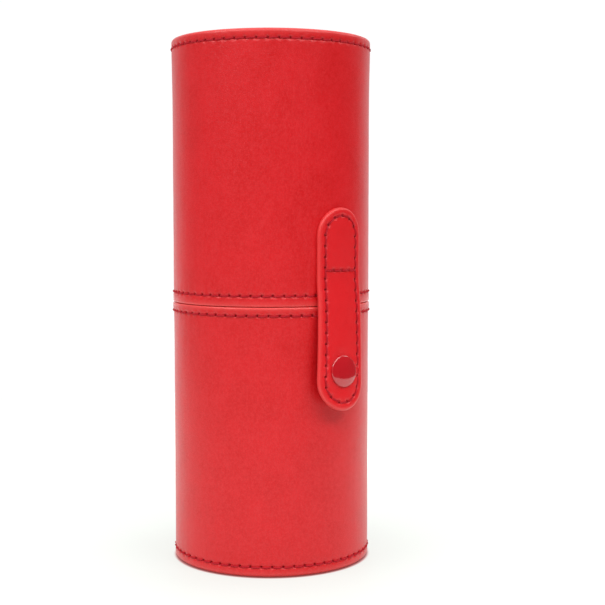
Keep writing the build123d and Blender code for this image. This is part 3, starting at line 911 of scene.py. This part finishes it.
# ---- stitches round the case ----
face_gap, back_gap = 0.5, 0.3  # between one stitch and the next, on the face and on the back
face_gauge, face_rise, back_rise = 0.33, 0.14, 0.02  # the thread's radius, and how high its arches stand
bedded = 0.08  # how deep a row beds into the leather
rings = (
    ("cup_mouth", "cup", row_cup_mouth, cup_fullness, 21),
    ("cup_base", "cup", row_cup_base, cup_fullness, 22),
    ("lid_top", "lid", row_lid_top, lid_fullness, 23),
    ("lid_mouth", "lid", row_lid_mouth, lid_fullness, 24),
)
for row, body, height, fullness, seed in rings:
    ring = wall + float(fullness(np.array(height))) - bedded
    start = first_hole[row] + 0.5
    path = circle_path(row, ring, height, start)
    rows = [stitched(row, path, stitches_round, pitch - face_gap, seed, rise=face_rise, gauge=face_gauge)]
    if row == "lid_mouth":
        inner = lid_hem_face + 0.10
        bobbin = circle_path(f"{row}_bobbin", inner, height, start)
        length = 2 * math.pi * inner / stitches_round - back_gap
        rows.append(stitched(f"{row}_bobbin", bobbin, stitches_round, length, seed + 40, -1.0, back_rise))
    fit_out(joined(f"{row}_stitches", rows), "thread", body, f"{row}_stitching")


# ---- strap ----
def strap_line():
    """The strap's crown from its top to its tip, as lengths along it with their (y, z)."""
    lean = math.tan(flap_lean)
    leave, settle = row_cross - 0.6, 99.0  # it bends away from the lid between these heights
    span = leave - settle
    heights = np.linspace(strap_top, strap_tip, 1500)
    on_flap = -hinge[1] + (hinge[2] - heights) * lean
    settled_out = -hinge[1] + (hinge[2] - settle) * lean
    t = np.clip((leave - heights) / span, 0, 1)
    bend = (
        (2 * t**3 - 3 * t**2 + 1) * strap_crown
        + (-2 * t**3 + 3 * t**2) * settled_out
        + (t**3 - t**2) * span * lean
    )
    out = np.where(heights > leave, strap_crown, np.where(heights > settle, bend, on_flap))
    line = np.stack([-out, heights], axis=1)
    lengths = np.concatenate([[0], np.cumsum(np.linalg.norm(np.diff(line, axis=0), axis=1))])
    return lengths, line


strap_lengths, strap_crown_line = strap_line()
strap_length = strap_lengths[-1]


def aside(z):
    """How far the strap's middle has moved to -X at a height, as it hangs over to the stud."""
    start, slope, curl = 3.0, 0.035, 0.00098
    below = row_cross - z
    below = (np.sqrt(below**2 + start**2) + below) / 2  # eased in at the cross row
    return slope * below + curl * below**2


def on_strap(x, s, h):
    """Places flat strap points: x across, s down its length, h above its face, all in millimetres."""
    step = 0.2
    ahead = np.clip(s + step, 0, strap_length)
    behind = np.clip(s - step, 0, strap_length)
    y, z = (np.interp(s, strap_lengths, line) for line in strap_crown_line.T)
    dy, dz = (
        np.interp(ahead, strap_lengths, line) - np.interp(behind, strap_lengths, line)
        for line in strap_crown_line.T
    )
    skew = np.arctan(aside(z - 0.5) - aside(z + 0.5))
    x, down = x * np.cos(skew), x * np.sin(skew)
    size = np.hypot(dy, dz)
    out_y, out_z = dz / size, -dy / size
    lean = np.arcsin(np.clip(x / strap_crown, -1, 1))
    rise = (strap_crown + h) * np.cos(lean) - strap_crown
    turn = -np.arcsin(aside(z) / -y)
    flat_x, flat_y = (strap_crown + h) * np.sin(lean), y + rise * out_y
    return np.stack(
        [
            flat_x * np.cos(turn) - flat_y * np.sin(turn),
            flat_x * np.sin(turn) + flat_y * np.cos(turn),
            z + rise * out_z - down,
        ],
        axis=-1,
    ) * MM


def strap_stations(step=0.30):
    """Points round the strap's middle line: where each spoke starts and which way it points."""
    top_centre, tip_centre = strap_half, strap_length - strap_half
    sides = int((tip_centre - top_centre) / step)
    bends = int(math.pi * (strap_half - row_inset) / step)
    down = np.linspace(top_centre, tip_centre, sides, endpoint=False)
    up = down[::-1] + (down[1] - down[0])
    arc = np.linspace(0, math.pi, bends, endpoint=False)
    starts = np.concatenate([down, np.full(bends, tip_centre), up, np.full(bends, top_centre)])
    angles = np.concatenate([np.zeros(sides), arc, np.full(sides, math.pi), arc + math.pi])
    return starts, np.cos(angles), np.sin(angles)


spoke_start, spoke_x, spoke_s = strap_stations()
row_radius = strap_half - row_inset
row_x, row_s = row_radius * spoke_x, spoke_start + row_radius * spoke_s
row_path = on_strap(row_x, row_s, np.zeros(len(row_x)))
row_lengths = np.linalg.norm(np.roll(row_path, -1, axis=0) - row_path, axis=1) / MM
row_total = row_lengths.sum()
strap_stitches = round(row_total / strap_pitch)
row_at = np.concatenate([[0], np.cumsum(row_lengths)])
strap_stitch = row_total / strap_stitches
strap_start = 0.075  # the first hole, in stitches from the start of the row
hole_at = (np.arange(strap_stitches) + strap_start) * strap_stitch
hole_x = np.interp(hole_at, row_at, np.append(row_x, row_x[0]))
hole_s = np.interp(hole_at, row_at, np.append(row_s, row_s[0]))
cross_s = float(np.interp(-row_cross, -strap_crown_line[:, 1], strap_lengths))
snap_s = float(np.interp(-snap_height, -strap_crown_line[:, 1], strap_lengths))
cross_count = 4
cross_x = np.linspace(-row_radius, row_radius, cross_count + 1)
hole_x = np.concatenate([hole_x, cross_x[1:-1]])
hole_s = np.concatenate([hole_s, np.full(cross_count - 1, cross_s)])


def strap_relief(x, s, face, depth):
    """How far the strap is drawn in at its holes, its cross row and its snap, and the hole share, which the finish
    darkens as painted shade.

    face is 1 on the front and -1 on the back, and depth scales what the thread draws in.
    """
    strap_hole, strap_pull = 1.2 * hole_size, 0.8 * pull
    cross_depth, cross_reach, cross_end = 0.14, 0.45, 0.15
    press_ease, press_behind = 3.6, 0.25  # the cap presses the strap flat, and less so from behind
    away = (x[..., None] - hole_x) ** 2 + (s[..., None] - hole_s) ** 2
    nearest = away.min(axis=-1)
    hole = np.exp(-nearest / strap_hole**2)
    drawn_in = np.exp(-nearest / pull_size**2)
    in_row = 1 / (1 + np.exp((np.abs(x) - row_radius) / cross_end))
    cross = cross_depth * np.exp(-(((s - cross_s) / cross_reach) ** 2)) * in_row
    from_snap = np.hypot(x, s - snap_s)
    flat = 1 - np.clip((from_snap - cap_radius) / press_ease, 0, 1)
    flat = flat * flat * (3 - 2 * flat)
    crown = strap_crown - np.sqrt(strap_crown**2 - x**2)
    pressed = (cap_base + crown) * flat
    drawn = -(hole_depth * hole + strap_pull * drawn_in + cross) * depth
    return face * drawn + pressed * (1 if face > 0 else press_behind), hole


def strap_shell(name, outline):
    """A closed layer of the strap from its outline of (distance from the middle line, height)."""
    skin_deep, ease = 0.6, 0.3  # the holes mark only this depth of the layer
    back_share = 0.6  # the back is drawn in less than the face
    # a paler band round the strap's edge: partly wear, partly a painted highlight on its rims
    wear_and_highlight_strength, wear_and_highlight_width, wear_and_highlight_ease = 0.45, 1.5, 1.2
    brightness = 0.7  # the strap's leather is a fresher red than the case's
    pts = clockwise(outline)
    x = pts[:, 0][:, None] * spoke_x
    s = spoke_start + pts[:, 0][:, None] * spoke_s
    h = np.repeat(pts[:, 1][:, None], len(spoke_x), axis=1)
    top, bottom = pts[:, 1].max(), pts[:, 1].min()
    on_face = np.clip((h - (top - skin_deep)) / ease, 0, 1)
    on_back = np.clip(((bottom + skin_deep) - h) / ease, 0, 1)
    relief_face, hole = strap_relief(x, s, 1, 1.0)
    relief_back, _ = strap_relief(x, s, -1, back_share)
    sway = 0.06 * np.sin(s / 9.0 + 1.0) * np.cos(x / 7.0)  # leather is never quite even
    h = h + relief_face * on_face + relief_back * on_back + sway
    from_middle = np.hypot(x, s - np.clip(s, strap_half, strap_length - strap_half))
    wear_and_highlight = wear_and_highlight_strength * np.clip((from_middle - (strap_half - wear_and_highlight_width)) / wear_and_highlight_ease, 0, 1)
    rows, columns = h.shape
    index = np.arange(rows * columns).reshape(rows, columns)
    below, beside = np.roll(index, -1, axis=0), np.roll(index, -1, axis=1)
    both = np.roll(below, -1, axis=1)
    on_middle = pts[:, 0] < 1e-6
    kept = ~(on_middle & np.roll(on_middle, -1))
    faces = np.stack([index, below, both, beside], axis=-1)[kept].reshape(-1, 4)
    mesh = bpy.data.meshes.new(name)
    mesh.from_pydata(on_strap(x, s, h).reshape(-1, 3).tolist(), [], faces.tolist())
    marks = {
        "hole": hole * np.maximum(on_face, on_back), "wear_and_highlight": wear_and_highlight, "fresh": np.full(h.shape, brightness)
    }
    for label, values in marks.items():
        mark = mesh.attributes.new(label, "FLOAT", "POINT")
        mark.data.foreach_set("value", values.astype(np.float32).ravel())
    mesh.materials.append(finishes["leather_red"])
    return shown(name, welded(mesh))


def welded(mesh):
    """Closes a mesh's seams and turns every face outwards."""
    work = bmesh.new()
    work.from_mesh(mesh)
    bmesh.ops.remove_doubles(work, verts=work.verts, dist=weld)
    bmesh.ops.dissolve_degenerate(work, edges=work.edges, dist=weld / 4)
    bmesh.ops.recalc_face_normals(work, faces=work.faces)
    for face in work.faces:
        face.smooth = True
    work.to_mesh(mesh)
    work.free()
    return mesh


def face_points(height, groove_depth, outward=True):
    """Points across a strap face from its middle to just inside its edge, drawn in at the stitch row."""
    band, clear_of_row, edge = 1.1, 1.3, 1.1  # points lie close together in a band either side of the row
    puff_height, puff_off, puff_reach, groove_reach = 0.10, 1.4, 0.8, 0.5
    middle = np.linspace(0, row_radius - clear_of_row, 12)
    rim = np.linspace(row_radius + clear_of_row, strap_half - edge, 4)
    near_row = row_radius + np.linspace(-band, band, 15)
    across = np.sort(np.concatenate([middle, rim, near_row]))
    sign = 1 if outward else -1
    puff = puff_height * np.exp(-(((across - (row_radius + puff_off)) / puff_reach) ** 2))
    groove = groove_depth * np.exp(-(((across - row_radius) / groove_reach) ** 2))
    return [(r, height + sign * (p - g)) for r, p, g in zip(across, puff, groove)]


backing_thick, turned_in = 0.8, 1.5  # the cover wraps the strap's edge and is turned in behind
cover_under, cover_back = backing_thick - strap_thick, 0.05 - strap_thick
strap_cover = strap_shell(
    "strap_cover",
    rounded(
        [
            *face_points(0.0, 0.12),
            (strap_half, 0.0, 0.95),
            (strap_half, cover_back, 1.05),
            (strap_half - turned_in, cover_back, 0.15),
            (strap_half - turned_in - 0.05, cover_under),
            (0, cover_under),
        ]
    ),
)
backing_edge, backing_top, backing_face = strap_half - 1.62, cover_under - 0.02, 0.03 - strap_thick
back_points = face_points(backing_face, 0.15, outward=False)
back_points = [point for point in back_points if point[0] < backing_edge - 0.48]
strap_backing = strap_shell(
    "strap_backing",
    rounded(
        [
            (0, backing_top),
            (backing_edge, backing_top),
            (backing_edge, backing_face, 0.2),
            *back_points[::-1],
        ]
    ),
)

# the strap's thread: each stitch is centred between two holes
round_once = np.linspace(0, row_total, 500, endpoint=False)
along_row = ((strap_start + 0.5) * strap_stitch + round_once) % row_total
sewn_x = np.interp(along_row, row_at, np.append(row_x, row_x[0]))
sewn_s = np.interp(along_row, row_at, np.append(row_s, row_s[0]))


def thread_round_strap(name, height, length, seed, **settings):
    """Thread round the strap at a height above its face."""
    path = open_path(name, on_strap(sewn_x, sewn_s, np.full(len(sewn_x), height)), closed=True)
    return stitched(name, path, strap_stitches, length, seed, **settings)


row_thread = thread_round_strap("strap_row", 0.0, strap_stitch - face_gap, 31, gauge=face_gauge)
half_cross = row_radius / cross_count
cross_line = np.linspace(-row_radius + half_cross, row_radius - half_cross, 25)
cross_path = open_path(
    "strap_cross", on_strap(cross_line, np.full(len(cross_line), cross_s), np.zeros(len(cross_line)))
)
cross_thread = stitched(
    "strap_cross", cross_path, cross_count, 2 * half_cross - face_gap, 32, rise=0.16, gauge=0.35
)
back_thread = thread_round_strap(
    "strap_back_row", 0.10 - strap_thick, strap_stitch - back_gap, 33, side=-1.0, rise=back_rise
)
strap_thread = joined("strap_stitches", [row_thread, cross_thread, back_thread])

for piece, slot, nodes in (
    (
        strap_cover, "leather_red",
        ("strap_anchor_front", "strap_flap_front", "strap_anchor_core", "strap_flap_core"),
    ),
    (strap_backing, "leather_red", ("strap_anchor_back", "strap_flap_back")),
    (strap_thread, "thread", ("strap_anchor_stitching", "strap_flap_stitching")),
):
    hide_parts(*nodes)
    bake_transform(piece)


# ---- snap ----
def set_along(piece, origin, direction):
    """Moves a piece turned round +Z so that it stands on a point, in metres, along a direction."""
    turn = direction.to_track_quat("Z", "X").to_matrix().to_4x4()
    piece.data.transform(Matrix.Translation(Vector(origin)) @ turn)
    piece.data.update()


snap_centre, snap_above = (
    Vector(on_strap(np.array(0.0), np.array(snap_s), np.array(height))) for height in (0.0, 1.0)
)
snap_out = (snap_above - snap_centre).normalized()
post, post_end, clench, clench_end = 1.3, -2.6, 1.8, -2.9  # the cap's post, clenched behind the socket


def dome_height(r):
    """The cap's dome at a radius: nearly flat in the middle, and falling faster towards its edge."""
    out = r / cap_radius
    return cap_crown - 0.55 * out**2 - 0.35 * out**4


dome = [(r, dome_height(r)) for r in np.linspace(0, cap_radius - 0.7, 18)]
cap = turned(
    "snap_cap_dome",
    rounded(
        [
            *dome,
            (cap_radius, cap_rim + 0.16, 0.55),
            (cap_radius, cap_base, 0.12),
            (post, cap_base),
            (post, post_end),
            (clench, post_end),
            (clench, clench_end),
            (0, clench_end),
        ],
        steps=8,
    ),
    finishes["snap_lacquer"], 96, wear_and_highlight_near=((cap_radius, cap_rim, 0.6, 0.6),),
)
set_along(cap, snap_centre, snap_out)
fit_out(cap, "snap_lacquer", "strap", "snap_cap")

socket = turned(
    "snap_socket_ring",
    rounded(
        [
            (post, -2.2),
            (4.8, -2.2, 0.15),
            (4.8, -2.75, 0.3),
            (3.9, -2.85, 0.2),
            (3.55, -3.6, 0.3),
            (2.4, -3.6, 0.25),
            (2.4, post_end),
            (post, post_end),
        ],
        steps=5,
    ),
    finishes["snap_metal"], 96,
)
set_along(socket, snap_centre, snap_out)
fit_out(socket, "snap_metal", "strap", "snap_socket")

stud_radius = 4.7
stud_back = math.sqrt(wall**2 - stud_radius**2)  # its flat back meets the wall at its edge
stud = turned(
    "snap_stud_turned",
    rounded(
        [
            (0, 0.0),
            (stud_radius, 0.0, 0.1),
            (stud_radius, 0.5, 0.25),
            (2.6, 0.62, 0.2),
            (1.65, 0.75, 0.25),
            (1.6, 1.15, 0.15),
            (1.9, 1.45, 0.2),
            (1.9, 2.0, 0.35),
            (0.9, 2.0, 0.3),
            (0.7, 1.75, 0.15),
            (0, 1.7),
        ],
        steps=5,
    ),
    finishes["snap_metal"], 72,
)
stud_low, stud_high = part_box("snap_stud")
stud_out = ((stud_low + stud_high) / 2 * Vector((1, 1, 0))).normalized()
set_along(stud, stud_out * stud_back * MM + Vector((0, 0, snap_height * MM)), stud_out)
fit_out(stud, "snap_metal", "cup", "snap_stud")

# ---- camera ----
camera_turn = math.radians(-41.0)
camera = bpy.data.objects.new("camera", bpy.data.cameras.new("camera"))
bpy.context.scene.collection.objects.link(camera)
bpy.context.scene.camera = camera
camera.data.lens = 75.1
camera.data.sensor_width = 36.0
camera.data.clip_start = 0.01
camera.data.clip_end = 20.0
camera_distance, camera_height = 0.4919, 0.1327
pitch_down, look_aside = math.radians(4.0), math.radians(1.42)
camera.location = (
    camera_distance * math.sin(camera_turn), -camera_distance * math.cos(camera_turn), camera_height
)
camera.rotation_euler = (math.pi / 2 - pitch_down, 0, camera_turn - look_aside)

# ---- floor, light and air ----
to_camera = Vector((math.sin(camera_turn), -math.cos(camera_turn), 0))
to_right = Vector((math.cos(camera_turn), math.sin(camera_turn), 0))
floor_reach, floor_sides = 0.45, 96
floor_mesh = bpy.data.meshes.new("floor")
floor_turns = [2 * math.pi * k / floor_sides for k in range(floor_sides)]
floor_mesh.from_pydata(
    [(floor_reach * math.cos(a), floor_reach * math.sin(a), 0) for a in floor_turns],
    [], [tuple(range(floor_sides))],
)
floor = shown("floor", floor_mesh)
floor.location.z = -0.0003
board, shader = finish("floor_painted_glow_and_shadow")
shader["Roughness"].default_value = 0.6
shader["Specular IOR Level"].default_value = 0.2
x, y, _ = board.split(own_coordinates(board))
from_axis = board.sum("SQRT", board.sum("ADD", board.sum("MULTIPLY", x, x), board.sum("MULTIPLY", y, y)))
floor_glow, painted_floor_light = 0.79, 0.42  # the floor's painted glow, and its share under the case, where it is painted shadow
# the glow rises from under the case across a ring round its base, a painted contact shadow, and rises again
# farther out
for gain, near, far in ((0.49, -0.6, 0.6), (0.09, 1.0, 45.0), (0.24, 40.0, 130.0)):
    step = board.soft_step(from_axis, wall + near, wall + far)
    painted_floor_light = board.sum("ADD", painted_floor_light, board.sum("MULTIPLY", step, gain))
board.feed(shader["Emission Strength"], board.sum("MULTIPLY", painted_floor_light, floor_glow))
# next to the base the glow is tinted dark red: painted shade
clear = board.soft_step(from_axis, wall - 0.2, wall + 1.2)
painted_shadow_tint, paper_tint = (0.62, 0.12, 0.12, 1), (0.95, 1.0, 0.95, 1)
board.feed(shader["Emission Color"], mixed_colour(board, clear, painted_shadow_tint, paper_tint))
blotch = noise(board, own_coordinates(board), 300.0, 1.0)
board.feed(
    shader["Base Color"], mixed_colour(board, blotch, (0.18, 0.18, 0.18, 1), (0.20, 0.20, 0.20, 1))
)
floor_mesh.materials.append(finishes["floor_painted_glow_and_shadow"])

world = bpy.data.worlds.new("air")
bpy.context.scene.world = world
world.use_nodes = True
board = Board(world.node_tree)
# how bright the air is on each side, and as the camera sees it
front_left, front_right, at_back, overhead, plain = 0.33, 0.09, 0.99, 1.4, 1.02
back_fall, back_least, back_most = 1.7, 0.74, 1.2  # the back dims with height, within limits
ray = board.place("ShaderNodeTexCoord").outputs["Generated"]


def towards(direction):
    """How far a ray points along a direction."""
    dot = board.place("ShaderNodeVectorMath", {0: ray, 1: direction}, operation="DOT_PRODUCT")
    return dot.outputs["Value"]


def between(share, first, second):
    """The first brightness where share is 0 and the second where it is 1."""
    return board.sum("ADD", first, board.sum("MULTIPLY", share, board.sum("SUBTRACT", second, first)))


behind = board.soft_step(towards(-to_camera), 0.57, 0.77)
in_front = between(board.soft_step(towards(to_right), -0.3, 0.5), front_left, front_right)
up = towards(Vector((0, 0, 1)))
back_glow = board.sum("SUBTRACT", at_back, board.sum("MULTIPLY", up, back_fall))
back_glow = board.sum("MINIMUM", board.sum("MAXIMUM", back_glow, back_least), back_most)
glow = between(behind, in_front, back_glow)
glow = between(board.soft_step(up, 0.60, 0.85), glow, overhead)
glow = between(board.place("ShaderNodeLightPath").outputs["Is Camera Ray"], glow, plain)
air = world.node_tree.nodes["Background"].inputs
air["Color"].default_value = (1, 1, 1, 1)
board.feed(air["Strength"], glow)


def softbox(name, turn, lift, width, power, distance=1.2, height=0.35):
    """A soft area light aimed at the case. turn is in degrees from the camera's own direction."""
    light = bpy.data.lights.new(name, "AREA")
    light.shape, light.size, light.size_y = "RECTANGLE", width, height
    light.energy = power
    lamp = bpy.data.objects.new(name, light)
    bpy.context.scene.collection.objects.link(lamp)
    a, e = camera_turn + math.radians(turn), math.radians(lift)
    direction = Vector((math.sin(a) * math.cos(e), -math.cos(a) * math.cos(e), math.sin(e)))
    target = Vector((0, 0, 0.1))
    lamp.location = target + direction * distance
    lamp.rotation_euler = direction.to_track_quat("Z", "Y").to_euler()


softbox("left_light", -58, 40, 0.8, 4.6)
softbox("front_light", -4, 42, 0.7, 3.1)
softbox("right_light", 46, 40, 0.7, 5.0)
softbox("side_light", 108, 35, 0.6, 1.9)

bpy.context.scene.view_settings.view_transform = "Standard"
